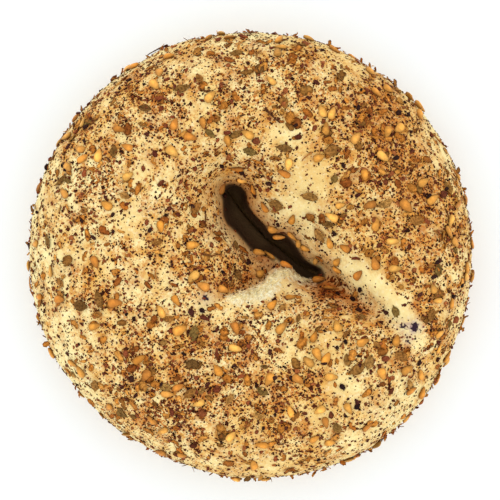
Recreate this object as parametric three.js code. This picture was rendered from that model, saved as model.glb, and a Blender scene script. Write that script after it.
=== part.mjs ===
// A hand-shaped bagel whose hole has closed to a slit, strewn with sesame, herb leaves and crushed spice.
// Millimetres, +Z up. It lies on its flat base, its box is centred on the origin, and +X runs along the slit.
import * as THREE from "three";

// The baked ring
const BAGEL_RADIUS = 56;
const CROWN_HEIGHT = 38;
const EQUATOR_HEIGHT = 16;
const BASE_FLATTENING = 2.5; // how much of the rounded underside the baking sheet has pressed flat
const CROWN_SHARE = 0.53; // where the crown lies, as a share of the way from the slit to the rim
// How square the section's corners are: 1 is a plain ellipse, and less is squarer
const SHOULDER = 0.92;
const BASE_CORNER = 0.55;
const SLIT_CORNER = 0.2;
const UNDERSIDE = 0.75;
const AROUND = 112;
const ACROSS = 32;

// The slit, in the ring's own frame
const SLIT_HALF_LENGTH = 15.8;
const SLIT_HALF_WIDTH = 3.1;
const SLIT_TAPER = 0.22; // the slit is wider at its -X end
const SLIT_OFFSET = 5.4;
const SLIT_BEND = 0.009; // per millimetre: its middle bows towards -Y
const SLIT_BLUNTNESS = 0.7; // how square its ends are, as above
const SLIT_PINCH = 0.06; // what is left of its width low down, where the proofed dough has nearly met
const PINCH_DEPTH = 0.45; // where that width is reached, as a share of the way down from the equator

// Slow swells: waves round the ring, amplitude in millimetres and phase in radians
const RIM_WAVES = [
  { count: 2, amplitude: 0.35, phase: 0.58 },
  { count: 3, amplitude: 0.38, phase: 1.27 },
  { count: 4, amplitude: 0.27, phase: 1.45 },
];
const CROWN_WAVES = [
  { count: 1, amplitude: 0.7, phase: 2.6 },
  { count: 3, amplitude: 0.5, phase: 0.4 },
  { count: 5, amplitude: 0.3, phase: 1.9 },
];

// Creases where the two ends of the dough rope were lapped and pressed together. Depth is a share of the
// crown's rise over the equator, at the crease's start; left and right are the widths of its two flanks.
const LAP_CREASE = {
  points: [[12, 8.2], [20, 9.2], [26, 10.4], [32.5, 11.6], [39, 12.8], [45, 13.2]],
  depth: 0.5,
  left: 5.5,
  right: 3.2,
};
const TUCK_CREASE = {
  points: [[6.5, 3.5], [5.6, -1], [4.4, -6], [2.6, -11], [-0.5, -17]],
  depth: 0.42,
  left: 2.2,
  right: 7,
};
const DEEPEST_PRESS = 0.6; // the most that the creases together take off the crown's rise
const PRESS_FADE = 0.5; // where on the crown's flanks they reach full depth, as the sine of the turn

// Topping pieces
const SESAME = { length: 3.3, width: 2, thickness: 0.95, taper: 0.3, around: 8, along: 6 };
const LEAF = { length: 4.4, width: 2.1, thickness: 0.35, curl: 0.35, stalk: 0.36, widest: -0.2 };
const FLAKE = { length: 2.3, width: 1.5, thickness: 0.9, lean: 0.1 };
const SEAT_GAP = 0.3; // clearance left between a topping piece and the crust
const DROP_HEIGHT = 60; // pieces are lowered from here
const LIFT = 5; // and held this far off the crust while their clearance is measured

// Where the larger pieces landed: x, y and turn about the crust's normal, in millimetres and degrees
const SESAME_SEATS = [
  [-49, 22, 35], [-34, 21.5, 90], [-36, 10.5, 115], [-31, 15.5, 145], [-23.5, 16.5, 145],
  [-40.5, -1.5, 20], [-46.5, -11, 70], [-35.5, -6.5, 70], [-34.5, -15.5, 10], [-26, 35, 175],
  [-11.5, 37.5, 145], [-8, 35, 125], [-1, 38.5, 95], [7, 39.5, 180], [-8.5, 22.5, 125],
  [19.5, 34.5, 175], [8, 20.5, 15], [23, 26, 45], [15.5, 17, 20], [30, 39.5, 105],
  [-27, -27.5, 155], [-27.5, -40.5, 45], [-16.5, -31.5, 45], [-6, -21, 165], [-0.5, -25.5, 70],
  [9.5, -16, 155], [9, -36, 65], [13, -26.5, 165], [13.5, -47, 75], [14.5, -1.5, 55],
  [27.5, 1.5, 150], [28.5, -7, 160], [24, -19.5, 105], [38, -16.5, 80], [43, -11.5, 165],
  [44, 25, 125],
];
// On the rim a piece is placed by its bearing round the ring and its height
const SESAME_RIM_SEATS = [[166, 19, 60], [88, 17, 20], [226, 18, 85], [338, 20, 10], [37, 18, 75]];
const LEAF_SEATS = [
  [-40.5, 18.5, 55], [-23, 19.5, 75], [-12, 25, 35], [-3, 32.5, 55], [-4, 13.5, 25], [1, 20, 35],
  [24, 34, 45], [-22, -37.5, 35], [12, -35, 85], [38, -3, 65], [-47, -18.5, 75],
];
const FLAKE_SEATS = [
  [-28.5, -2.5, 80], [-11.5, 29, 45], [2.5, -45, 100], [41, -15.5, 155], [48, -1, 105], [12, -5, 115],
  [21.5, -44.5, 65],
];

const CRUST = { color: 0xe8c88a, roughness: 0.75, metalness: 0 };
const SEED_COAT = { color: 0xdb9b45, roughness: 0.55, metalness: 0 };
const DRIED_HERB = { color: 0x6e5b33, roughness: 0.85, metalness: 0 };
const CRUSHED_SPICE = { color: 0x3c211b, roughness: 0.7, metalness: 0 };

const DEGREE = Math.PI / 180;
const signedPower = (value, power) => Math.sign(value) * Math.abs(value) ** power;
const ripple = (waves, angle) =>
  waves.reduce((sum, wave) => sum + wave.amplitude * Math.cos(wave.count * angle + wave.phase), 0);

function smoothstep(low, high, value) {
  const share = Math.min(1, Math.max(0, (value - low) / (high - low)));
  return share * share * (3 - 2 * share);
}

// A point of the slit's outline, at an angle round the ring. Depth is 0 at the equator and 1 at the base.
function slitPoint(angle, depth) {
  const x = SLIT_HALF_LENGTH * Math.cos(angle);
  const open = 1 - (1 - SLIT_PINCH) * smoothstep(0, PINCH_DEPTH, depth);
  const half = SLIT_HALF_WIDTH * open * (1 - SLIT_TAPER * Math.cos(angle));
  const y = SLIT_OFFSET + SLIT_BEND * x * x + half * signedPower(Math.sin(angle), SLIT_BLUNTNESS);
  return new THREE.Vector2(x, y);
}

function rimPoint(angle) {
  const radius = BAGEL_RADIUS + ripple(RIM_WAVES, angle);
  return new THREE.Vector2(radius * Math.cos(angle), radius * Math.sin(angle));
}

// How far a crease presses the crust down at a point, as a share of the crown's rise. The side is 1 on the
// crease's left and -1 on its right, and turns from one to the other round its two ends.
function pressed(crease, point) {
  let nearest = { distance: Infinity };
  for (let i = 0; i + 1 < crease.points.length; i++) {
    const start = new THREE.Vector2(...crease.points[i]);
    const run = new THREE.Vector2(...crease.points[i + 1]).sub(start);
    const offset = point.clone().sub(start);
    const share = Math.min(1, Math.max(0, offset.dot(run) / run.lengthSq()));
    const gap = offset.addScaledVector(run, -share);
    const distance = gap.length();
    const side = distance > 0 ? run.normalize().cross(gap) / distance : 0;
    if (distance < nearest.distance) nearest = { distance, side, along: i + share };
  }
  const width = THREE.MathUtils.lerp(crease.right, crease.left, (1 + nearest.side) / 2);
  const fade = 1 - nearest.along / (crease.points.length - 1);
  return (crease.depth * fade) / (1 + (nearest.distance / width) ** 2);
}

// A point of the crust: angle goes round the ring, and turn goes round its section, from the rim (0)
// over the crown (a quarter turn) to the slit (a half turn) and back along the base.
function crustPoint(angle, turn) {
  const cosine = Math.cos(turn);
  const sine = Math.sin(turn);
  const top = sine >= 0;
  const inner = slitPoint(angle, Math.max(0, -sine));
  const outer = rimPoint(angle);
  const outside = cosine >= 0;
  const reach = outside ? 1 - CROWN_SHARE : CROWN_SHARE;
  const corner = outside ? BASE_CORNER : SLIT_CORNER;
  const share = CROWN_SHARE + reach * signedPower(cosine, top ? SHOULDER : corner);
  const flat = inner.lerp(outer, share);
  if (!top) {
    const drop = (EQUATOR_HEIGHT + BASE_FLATTENING) * signedPower(-sine, UNDERSIDE);
    return new THREE.Vector3(flat.x, flat.y, Math.max(0, EQUATOR_HEIGHT - drop));
  }
  const rise = (CROWN_HEIGHT + ripple(CROWN_WAVES, angle) - EQUATOR_HEIGHT) * sine ** SHOULDER;
  const press = Math.min(DEEPEST_PRESS, pressed(LAP_CREASE, flat) + pressed(TUCK_CREASE, flat));
  const height = EQUATOR_HEIGHT + rise * (1 - press * smoothstep(0, PRESS_FADE, sine));
  return new THREE.Vector3(flat.x, flat.y, height);
}

function ringGeometry() {
  const positions = [];
  const faces = [];
  for (let i = 0; i < AROUND; i++)
    for (let j = 0; j < ACROSS; j++)
      positions.push(...crustPoint((2 * Math.PI * i) / AROUND, (2 * Math.PI * j) / ACROSS).toArray());
  for (let i = 0; i < AROUND; i++)
    for (let j = 0; j < ACROSS; j++) {
      const here = i * ACROSS + j;
      const above = i * ACROSS + ((j + 1) % ACROSS);
      const next = ((i + 1) % AROUND) * ACROSS + j;
      const across = ((i + 1) % AROUND) * ACROSS + ((j + 1) % ACROSS);
      faces.push(here, next, across, here, across, above);
    }
  const geometry = new THREE.BufferGeometry();
  geometry.setAttribute("position", new THREE.Float32BufferAttribute(positions, 3));
  geometry.setIndex(faces);
  geometry.computeVertexNormals();
  return geometry;
}

// A flattened teardrop: blunt at -X, pointed at +X.
function sesameGeometry() {
  const geometry = new THREE.SphereGeometry(1, SESAME.around, SESAME.along).rotateZ(Math.PI / 2);
  const place = geometry.attributes.position;
  for (let i = 0; i < place.count; i++) {
    const taper = 1 - SESAME.taper * place.getX(i);
    place.setXYZ(
      i,
      (place.getX(i) * SESAME.length) / 2,
      (place.getY(i) * taper * SESAME.width) / 2,
      (place.getZ(i) * taper * SESAME.thickness) / 2,
    );
  }
  return geometry;
}

// A dried leaf: a pointed oval with a short stalk, curled up at its two ends.
function leafGeometry() {
  const half = LEAF.length / 2;
  const outline = new THREE.Shape();
  outline.moveTo(-half, -LEAF.stalk / 2);
  outline.quadraticCurveTo(half * LEAF.widest, -LEAF.width, half, 0);
  outline.quadraticCurveTo(half * LEAF.widest, LEAF.width, -half, LEAF.stalk / 2);
  const geometry = new THREE.ExtrudeGeometry(outline, {
    depth: LEAF.thickness,
    bevelEnabled: false,
    curveSegments: 5,
  });
  const place = geometry.attributes.position;
  for (let i = 0; i < place.count; i++)
    place.setZ(i, place.getZ(i) + LEAF.curl * (place.getX(i) / half) ** 2);
  return geometry;
}

// A crushed grain: an uneven chip with flat faces.
function flakeGeometry() {
  const geometry = new THREE.IcosahedronGeometry(1, 0);
  return geometry.scale(FLAKE.length / 2, FLAKE.width / 2, FLAKE.thickness / 2).rotateY(FLAKE.lean);
}

const caster = new THREE.Raycaster();
function firstHit(target, origin, direction) {
  caster.set(origin, direction);
  return caster.intersectObject(target)[0];
}

// Lays a piece on the crust where a ray meets it, flat against the surface and turned about its normal.
function seat(piece, ring, origin, direction, turn) {
  const hit = firstHit(ring, origin, direction);
  const normal = hit.face.normal;
  piece.quaternion.setFromUnitVectors(new THREE.Vector3(0, 0, 1), normal);
  piece.rotateZ(turn * DEGREE);
  piece.position.copy(hit.point).addScaledVector(normal, LIFT);
  piece.updateMatrixWorld(true);
  const inwards = normal.clone().negate();
  const corner = new THREE.Vector3();
  const place = piece.geometry.attributes.position;
  let clearance = Infinity;
  for (let i = 0; i < place.count; i++) {
    corner.fromBufferAttribute(place, i).applyMatrix4(piece.matrixWorld);
    const below = firstHit(ring, corner, inwards);
    if (below) clearance = Math.min(clearance, below.distance);
  }
  piece.position.addScaledVector(normal, SEAT_GAP - clearance);
}

const seatOnTop = (piece, ring, [x, y, turn]) =>
  seat(piece, ring, new THREE.Vector3(x, y, DROP_HEIGHT), new THREE.Vector3(0, 0, -1), turn);

function seatOnRim(piece, ring, [bearing, height, turn]) {
  const outwards = new THREE.Vector3(Math.cos(bearing * DEGREE), Math.sin(bearing * DEGREE), 0);
  const origin = outwards.clone().multiplyScalar(2 * BAGEL_RADIUS).setZ(height);
  seat(piece, ring, origin, outwards.clone().negate(), turn);
}

function makePiece(name, geometry, finish) {
  const piece = new THREE.Mesh(geometry, new THREE.MeshStandardMaterial(finish));
  piece.name = name;
  return piece;
}

function addToppings(bagel, ring, kind, geometry, finish, seats, place) {
  const already = bagel.children.filter((piece) => piece.name.startsWith(kind)).length;
  seats.forEach((spot, i) => {
    const number = String(already + i + 1).padStart(2, "0");
    const piece = makePiece(`${kind}_${number}`, geometry, finish);
    place(piece, ring, spot);
    bagel.add(piece);
  });
}

const bagel = new THREE.Group();
const ring = makePiece("bagel_ring", ringGeometry(), CRUST);
ring.updateMatrixWorld(true);
bagel.add(ring);
addToppings(bagel, ring, "sesame_seed", sesameGeometry(), SEED_COAT, SESAME_SEATS, seatOnTop);
addToppings(bagel, ring, "sesame_seed", sesameGeometry(), SEED_COAT, SESAME_RIM_SEATS, seatOnRim);
addToppings(bagel, ring, "herb_leaf", leafGeometry(), DRIED_HERB, LEAF_SEATS, seatOnTop);
addToppings(bagel, ring, "spice_flake", flakeGeometry(), CRUSHED_SPICE, FLAKE_SEATS, seatOnTop);

// The origin is the middle of the whole object's footprint, on the surface it lies on.
const box = new THREE.Box3().setFromObject(bagel, true);
const middle = box.getCenter(new THREE.Vector3());
bagel.position.set(-middle.x, -middle.y, -box.min.z);

export default bagel;
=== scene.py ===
"""A hand-shaped bagel strewn with sesame, dried herb and crushed spice, seen from straight above.

Metres, +Z up, +X along the slit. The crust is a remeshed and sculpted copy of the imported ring. Everything
that lies on it is a closed bit of mesh, merged into one piece for each kind. Sizes and places are in
millimetres, from the middle of the ring's box, and MM turns them into metres.
"""

import math

import bmesh
import bpy
import numpy as np
from mathutils import Matrix, Vector
from mathutils.bvhtree import BVHTree
from numpy.linalg import norm


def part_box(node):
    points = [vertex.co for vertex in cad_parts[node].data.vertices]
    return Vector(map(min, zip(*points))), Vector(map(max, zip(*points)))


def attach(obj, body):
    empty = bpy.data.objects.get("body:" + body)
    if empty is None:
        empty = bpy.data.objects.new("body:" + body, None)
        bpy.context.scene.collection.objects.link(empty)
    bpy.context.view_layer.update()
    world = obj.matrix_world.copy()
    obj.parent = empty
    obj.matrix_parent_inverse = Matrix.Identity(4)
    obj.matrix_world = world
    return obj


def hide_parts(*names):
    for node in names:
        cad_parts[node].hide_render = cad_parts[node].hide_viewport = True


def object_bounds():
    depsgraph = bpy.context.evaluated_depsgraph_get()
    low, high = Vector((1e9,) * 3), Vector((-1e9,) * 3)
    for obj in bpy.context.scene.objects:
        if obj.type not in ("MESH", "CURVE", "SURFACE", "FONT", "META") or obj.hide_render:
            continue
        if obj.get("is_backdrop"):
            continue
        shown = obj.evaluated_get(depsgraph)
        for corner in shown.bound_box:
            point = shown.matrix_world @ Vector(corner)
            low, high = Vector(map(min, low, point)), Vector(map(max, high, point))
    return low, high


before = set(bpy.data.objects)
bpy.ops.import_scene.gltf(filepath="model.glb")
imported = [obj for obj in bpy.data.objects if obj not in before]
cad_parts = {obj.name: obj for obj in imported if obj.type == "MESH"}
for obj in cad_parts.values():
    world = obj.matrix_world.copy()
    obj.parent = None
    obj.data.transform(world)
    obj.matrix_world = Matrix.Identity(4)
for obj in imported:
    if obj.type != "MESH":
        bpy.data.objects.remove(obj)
cad_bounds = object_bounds()

MM = 0.001
RING_LOW, RING_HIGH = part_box("bagel_ring")
RING_MIDDLE = np.array([(RING_LOW.x + RING_HIGH.x) / 2, (RING_LOW.y + RING_HIGH.y) / 2, 0])
CROWN = RING_HIGH.z / MM
EQUATOR = 0.42 * CROWN
# How far out a spot on the rim is looked for, a little past the ring's radius
RIM_REACH = 1.02 * (RING_HIGH.x - RING_LOW.x) / 2 / MM

# The camera looks straight down, turned so that the slit runs from the upper left to the lower right.
CAMERA_HEIGHT = 0.8  # metres
FIELD = 126.2  # width of the view, at the height of the rim
VIEW_UP = Vector((-0.682, 0.7314, 0))
VIEW_TARGET = (-1.35, 0.2)

# Creases and edges of the dough, as routes over the crust: x and y, starting at the slit
LAP_CREASE = [(12, 8.2), (16, 8.4), (20, 8.8), (25, 9.9), (30, 11.2), (35, 12), (40, 11.8), (44.5, 8.8)]
TUCK_CREASE = [(7.6, 3.2), (6.3, 0), (6.3, -3.5), (5, -7), (3.4, -10), (1.8, -13), (0.2, -17.5)]
TORN_EDGE = [
    (16.4, 5.2), (13, 4.5), (10, 3.6), (7.8, 2.2), (6.4, 0), (6.4, -3.5), (5.2, -7), (3.6, -10), (2, -13),
]
BARE_LAP = [(20, 14.2), (25, 15.3), (30, 15.2), (35, 14.8), (40, 14.6), (43, 12.9), (44.5, 12)]
# Purple-black stains: x, y and radius
STAINS = [(40.9, 14.4, 0.8), (41.5, 13.5, 0.8), (39.1, 12.1, 0.8), (42.2, 10.3, 0.6), (-1.2, -15.9, 0.9)]
# The slit's mouth: x, the middle's y, and half its width there
MOUTH = [
    (-15, 7.4, 1.7), (-13.6, 6.9, 2.5), (-12, 6.2, 2.9), (-10, 4.8, 2.8), (-7, 4.5, 2.5),
    (-3, 4.1, 2.5), (0, 3.7, 2.2), (3, 6.1, 2.2), (6, 6.1, 2), (8.5, 5.7, 1.7),
    (10.5, 5.5, 1.6), (13, 5.9, 1.6), (15.5, 6.8, 1.3),
]

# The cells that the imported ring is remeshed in, and how often its cage is rounded first
VOXEL = 0.62
CAGE_LEVELS = 2
SEED = 71

# How brightly a level white surface is lit, the share of that which comes from a disc straight above,
# the cosine of the angle from the zenith to the disc's edge, and how far either way that edge is soft
LIGHT_LEVEL = 1.27
OVERHEAD_SHARE = 0.16
OVERHEAD_COSINE = 0.91
OVERHEAD_SOFTNESS = 0.01
# How brightly the crown is lit among its topping
CROWN_LIGHT = 1.02
FLOOR_HALF = 3.0  # metres
FLOOR_GAP = 0.05
# Where a bit 1 long has its painted highlight, its palest spot, beside its middle
HIGHLIGHT_SPOT = (-0.1, 0.12)
# What is left of each colour channel in the deepest shade on the crust
SHADE = np.array([0.58, 0.2, 0.03])


# -------- numbers


def linear(red, green, blue):
    """A colour given as 8-bit sRGB, in the linear values that shaders take."""
    values = np.array([red, green, blue]) / 255
    return np.where(values <= 0.04045, values / 12.92, ((values + 0.055) / 1.055) ** 2.4)


def rgba(*colour):
    """The albedo that looks like this colour under the studio light."""
    return (*linear(*colour) / CROWN_LIGHT, 1)


def smoothstep(low, high, value):
    """Rises smoothly from 0 to 1 as value goes from low to high."""
    share = np.clip((value - low) / (high - low), 0, 1)
    return share * share * (3 - 2 * share)


def bell(distance, width):
    """1 at no distance, and nearly 0 past twice the width."""
    return np.exp(-((distance / width) ** 2))


def random_field(points, wavelength, seed):
    """A smooth random field with a mean of 0 and a spread of 1, made of plane waves."""
    waves = 40
    rng = np.random.default_rng(seed)
    directions = rng.normal(size=(waves, 3))
    directions /= norm(directions, axis=1, keepdims=True)
    lengths = wavelength * rng.uniform(0.7, 1.5, (waves, 1))
    angles = points @ (math.tau * directions / lengths).T + rng.uniform(0, math.tau, waves)
    return np.sin(angles).sum(1) * math.sqrt(2 / waves)


def smooth_route(corners):
    """Points along a Catmull-Rom curve through the corners."""
    steps = 8
    corners = np.array(corners, float)
    padded = np.vstack([2 * corners[0] - corners[1], corners, 2 * corners[-1] - corners[-2]])
    share = np.linspace(0, 1, steps, endpoint=False)[:, None]
    spans = []
    for a, b, c, d in zip(padded, padded[1:], padded[2:], padded[3:], strict=False):
        span = b + 0.5 * share * (c - a) + share**2 * (a - 2.5 * b + 2 * c - 0.5 * d)
        spans.append(span + share**3 * (1.5 * (b - c) + 0.5 * (d - a)))
    return np.vstack([*spans, corners[-1]])


def beside(route, points):
    """For each point: its distance from the route, positive on the left, and its share of the way along."""
    line = smooth_route(route)
    starts, runs = line[:-1], np.diff(line, axis=0)
    offsets = points[:, None, :2] - starts
    share = np.clip((offsets * runs).sum(2) / (runs**2).sum(1), 0, 1)
    gaps = offsets - share[..., None] * runs
    distances = norm(gaps, axis=2)
    nearest = distances.argmin(1)
    rows = np.arange(len(points))
    run, offset = runs[nearest], offsets[rows, nearest]
    side = np.sign(run[:, 0] * offset[:, 1] - run[:, 1] * offset[:, 0])
    along = (nearest + share[rows, nearest]) / len(runs)
    return side * distances[rows, nearest], along


# -------- meshes


def new_object(name, data):
    piece = bpy.data.objects.new(name, data)
    bpy.context.scene.collection.objects.link(piece)
    return piece


def vectors(collection, name):
    found = np.empty(len(collection) * 3)
    collection.foreach_get(name, found)
    return found.reshape(-1, 3)


def coordinates(mesh):
    return vectors(mesh.vertices, "co")


def placed(mesh):
    """Where a mesh's points are, in millimetres from the ring's middle."""
    return (coordinates(mesh) - RING_MIDDLE) / MM


# -------- the crust


def remeshed_ring():
    """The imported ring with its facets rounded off, in even cells small enough to sculpt."""
    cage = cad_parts["bagel_ring"].data.copy()
    piece = new_object("crust", cage)
    weld = piece.modifiers.new("weld", "WELD")
    weld.merge_threshold = 0.01 * MM
    rounded = piece.modifiers.new("rounded", "SUBSURF")
    rounded.levels = rounded.render_levels = CAGE_LEVELS
    cells = piece.modifiers.new("cells", "REMESH")
    cells.mode = "VOXEL"
    cells.voxel_size = VOXEL * MM
    graph = bpy.context.evaluated_depsgraph_get()
    mesh = bpy.data.meshes.new_from_object(piece.evaluated_get(graph))
    piece.modifiers.clear()
    piece.data = mesh
    bpy.data.meshes.remove(cage)
    return piece


def shape_slit(places):
    """Gives the slit's mouth its uneven width, and presses its walls together lower down, a little askew."""
    x, y, z = places.T
    at, middle, half = np.array(MOUTH).T
    near = (np.abs(x) < 15.5) & (np.abs(y - 5.5) < 5)
    throat = near & (np.abs(z - 7) < 1.5)
    lip = near & (np.abs(z - 15) < 2)
    packed_middle = np.polyval(np.polyfit(x[throat], y[throat], 2), x)
    side = y - packed_middle
    packed_half = [np.median(np.abs(side[lip & (np.abs(x - spot) < 1)])) for spot in at]
    stretch = np.interp(x, at, np.clip(half / packed_half, 0.5, 2))
    reach = np.abs(side) / np.interp(x, at, packed_half)
    held = 1 - smoothstep(1.3, 4.5, reach)
    ends = smoothstep(-19, -15, x) * (1 - smoothstep(15.5, 19, x))
    mouth = held * ends * smoothstep(9, 13, z)
    outward = mouth * (np.interp(x, at, middle) - packed_middle + (stretch - 1) * side)
    inside = (np.abs(x) < 16.5) & (np.abs(side) < 4.5)
    pressed = smoothstep(2.5, 4.5, z) * (1 - smoothstep(8.5, 16, z)) * inside
    closed = np.sign(side) * np.minimum(np.abs(side), 0.2 + 0.12 * np.abs(side))
    askew = 0.7 * (2 * smoothstep(4.5, 10.5, z) - 1)
    shaped = places.copy()
    shaped[:, 1] += outward + pressed * (closed - side + askew)
    return shaped


def sculpt_crust(mesh):
    """Presses in the creases, lifts the torn tongue between them and roughens the dough."""
    normals = vectors(mesh.vertex_normals, "vector")
    places = shape_slit(placed(mesh))
    upper = smoothstep(EQUATOR, EQUATOR + 8, places[:, 2])
    lifted = -0.8 * np.exp(-mouth_distance(places) / 3)

    gap, along = beside(LAP_CREASE, places)
    fading = (1 - along) ** 0.8 * smoothstep(9, 13, places[:, 0])
    lifted -= 3.2 * fading * np.exp(-np.abs(gap) / np.where(gap > 0, 1.3, 3))
    lifted += 1.3 * fading**0.5 * bell(gap - 4.2, 3)

    gap, along = beside(TUCK_CREASE, places)
    fading = (1 - along) ** 0.7 * (1 - smoothstep(4, 6.5, places[:, 1]))
    tongue = smoothstep(-0.5, 0.7, gap)
    lifted += 2.2 * fading * tongue * np.exp(-np.abs(gap) / 4.5)
    lifted -= 2.6 * fading * (1 - tongue) * np.exp(-np.abs(gap) / 4.5)

    torn = torn_share(places)
    lifted += 0.35 * torn * random_field(places, 1.6, 5)

    lifted += 0.32 * random_field(places, 26, 1) + 0.16 * random_field(places, 9, 2)
    lifted += 0.06 * random_field(places, 3.2, 3) + 0.025 * random_field(places, 1.6, 4)
    throat = (mouth_distance(places) < 0.5) & (places[:, 2] < EQUATOR + 2)
    lifted[throat] *= 0.15
    moved = places + normals * (lifted * upper + 0.25 * lifted * (1 - upper))[:, None]
    moved[:, 2] = np.maximum(moved[:, 2], 0)
    mesh.vertices.foreach_set("co", (moved * MM + RING_MIDDLE).ravel())
    mesh.update()


def mark_crust(mesh):
    """Writes, for the material, where the crust is torn, strewn, stained, in painted shade or turned down.
    """
    places = placed(mesh)
    height, facing = places[:, 2], vectors(mesh.vertex_normals, "vector")[:, 2]
    top = smoothstep(EQUATOR + 1, EQUATOR + 5, height)
    inside = 1 - smoothstep(0, 2.5, mouth_distance(places))
    low = 0.6 * (1 - smoothstep(0.02 * CROWN, 0.3 * CROWN, height))
    marks = {
        "torn": top * torn_share(places),
        "inked": top * stains(places, 1, 1),
        "bleeding": top * stains(places, 2.4, 0.4),
        "strewn": np.clip(strewn(places) / 2, 0, 1),
        "stained": stained(places),
        "shaded": shaded(places),
        # deep and pinched mark where the slit's walls are painted dark as shade, less dark low down where
        # they pinch together
        "deep": inside * (1 - smoothstep(EQUATOR + 1, EQUATOR + 10, height)),
        "pinched": inside * (1 - smoothstep(9, 15, height)),
        "under": np.maximum(smoothstep(0.1, 0.9, -facing), low),
    }
    for name, values in marks.items():
        mesh.attributes.new(name, "FLOAT", "POINT").data.foreach_set("value", values.astype(np.float32))


def mouth_distance(places):
    """How far each place lies outside the slit's mouth, in plan."""
    at, middle, half = np.array(MOUTH).T
    gap, _ = beside(list(zip(at, middle, strict=True)), places)
    return np.maximum(np.abs(gap) - np.interp(places[:, 0], at, half), 0)


def torn_belly(along):
    """How much wider the torn crumb is than at its ends."""
    return 2.2 * bell(along - 0.62, 0.25)


def torn_share(places):
    """Where the crumb shows: a band on the tongue, along its torn edge."""
    gap, along = beside(TORN_EDGE, places)
    width = 1.2 + torn_belly(along)
    ragged = 0.4 * random_field(places, 1.8, 12)
    ends = smoothstep(0, 0.12, along) * (1 - smoothstep(0.9, 1, along))
    return smoothstep(-0.3, 0.3, gap) * (1 - smoothstep(width, width + 1, gap + ragged)) * ends


def shaded(places):
    """How deep each place is in the shade of the slit's mouth, the lap's groove or the dip by the tongue."""
    mouth = np.exp(-mouth_distance(places) / 2.6) * (1 - 0.85 * torn_share(places))
    mouth *= 0.65 + 0.35 * smoothstep(-18, -11, places[:, 0])
    gap, along = beside(LAP_CREASE, places)
    groove = bell(gap + 1.5, np.where(gap > -1.5, 2.2, 3)) * (1 - smoothstep(0.25, 0.9, along))
    groove *= smoothstep(13, 17, places[:, 0])
    gap, along = beside(TUCK_CREASE, places)
    dip = bell(gap, np.where(gap > 0, 0.5, 6)) * (1 - along) ** 0.6
    upper = smoothstep(EQUATOR, EQUATOR + 4, places[:, 2])
    return upper * (1 - (1 - 0.92 * mouth) * (1 - 0.85 * groove) * (1 - 0.55 * dip))


# Where the topping fell thicker or thinner: x, y, radius, and the share of it added or taken away.
# The first of the thick patches are the brownest.
BROWNEST = 4
THICK_PATCHES = [
    (-2, 46.4, 8, 1.6), (16.5, 40, 7, 1.1), (21, 32, 5, 0.6), (31, 35.5, 5.5, 0.6), (-22, -34.5, 4.5, 1.2),
    (4, -26.5, 5, 1.2), (12, -36.5, 8, 1), (31, -14, 5, 1.2), (17.5, -18.5, 6, 0.8), (30, -26, 6, 0.7),
    (1, -7.5, 5, 1.2), (-54, -5, 6, 0.6), (-50, 10, 6, 0.6), (-29, 21, 6, 0.7), (19, 6.8, 3.5, 1.4),
    (28, 5, 4.5, 0.8), (3, -43, 9, 0.5), (14, 24, 4, 0.6), (28, 21, 4, 0.5), (-37, -22, 6, 0.7),
    (-8, -12, 7, 0.75), (-18, 34.5, 7, 0.9), (8, 37, 5, 0.6), (49, 15, 3, 0.6), (22, 44, 4, 0.8),
    (38, 20, 8, 1), (-41, 12.5, 6, 0.7), (-42, -13, 5, 0.4), (34, -28, 6, 0.5), (16, 2.5, 3, 0.4),
    (-31, 30, 4, 0.9), (-25, 39, 4.5, 0.7), (43, 16.5, 3.5, 1.2), (43, 6, 4, 0.4), (19, 23, 4, 0.5),
    (-39, -8, 4, 0.3), (17, -31, 4, 0.3), (-14, 16, 4, 0.4), (36, -2, 3.5, 0.4), (-27, -25, 4, 0.5),
]
THIN_PATCHES = [
    (-2.4, 14, 5, 0.6), (4, 15, 5, 0.5), (50, -9, 6, 0.5), (-19, -46, 8, 0.55), (29, -4, 5, 0.6),
    (-35, -35, 7, 0.5), (9, -1.5, 3, 0.85), (7, -6, 3, 0.9), (2, 21, 6, 0.35), (-47, -23, 5.5, 0.5),
    (39, -9, 5, 0.75), (11, 13, 4, 0.5), (-5.5, 0, 3.5, 0.6), (21.5, -11, 5, 0.65), (-2, 25, 4, 0.5),
    (27, 16, 4, 0.6), (34, 15.5, 4, 0.6), (-30, -15, 5, 0.65), (-9, 23, 7, 0.6), (18, 14, 5, 0.6),
    (13, 1.5, 3.5, 0.7), (-41, 23, 4, 0.5), (-26, 14, 4, 0.4), (-16, 27, 4, 0.65), (0, -17, 4, 0.6),
    (-36, 17, 3.5, 0.5), (52, 0, 5, 0.6), (4, -11, 3, 0.5), (-31, -26, 5, 0.45), (-12, -21, 5, 0.6),
    (31, -39, 6, 0.5), (-5, -52, 6, 0.5), (46.5, 22.5, 5, 0.7), (37, -20, 4, 0.5), (24, 12, 3, 0.6),
    (39, -35, 4, 0.6), (-13, 49, 6, 0.5), (11, -28, 3, 0.5), (15, 29, 4, 0.5), (15, 49, 4, 0.5),
    (51, 10, 4, 0.5), (-11, -1, 4, 0.25), (-24, 33, 3.5, 0.45), (-34, -3, 4, 0.5), (4, 52, 4, 0.4),
    (35, 10, 3, 0.4), (-26, -12, 4, 0.4), (-33, 40, 4, 0.5), (-20.5, -27, 4, 0.4),
    (-17, 5, 4, 0.5), (48, -19, 4, 0.5), (7, -33, 3.5, 0.4), (-30, 9, 4, 0.35),
]


def patches(places, spots):
    """The sum of the patches' bells at each place."""
    total = np.zeros(len(places))
    for x, y, radius, strength in spots:
        total += strength * bell(norm(places[:, :2] - (x, y), axis=1), radius)
    return total


def stains(places, spread, strength):
    """The stains' bells at each place, their radii multiplied by the spread."""
    return patches(places, [(x, y, spread * radius, strength) for x, y, radius in STAINS])


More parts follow.
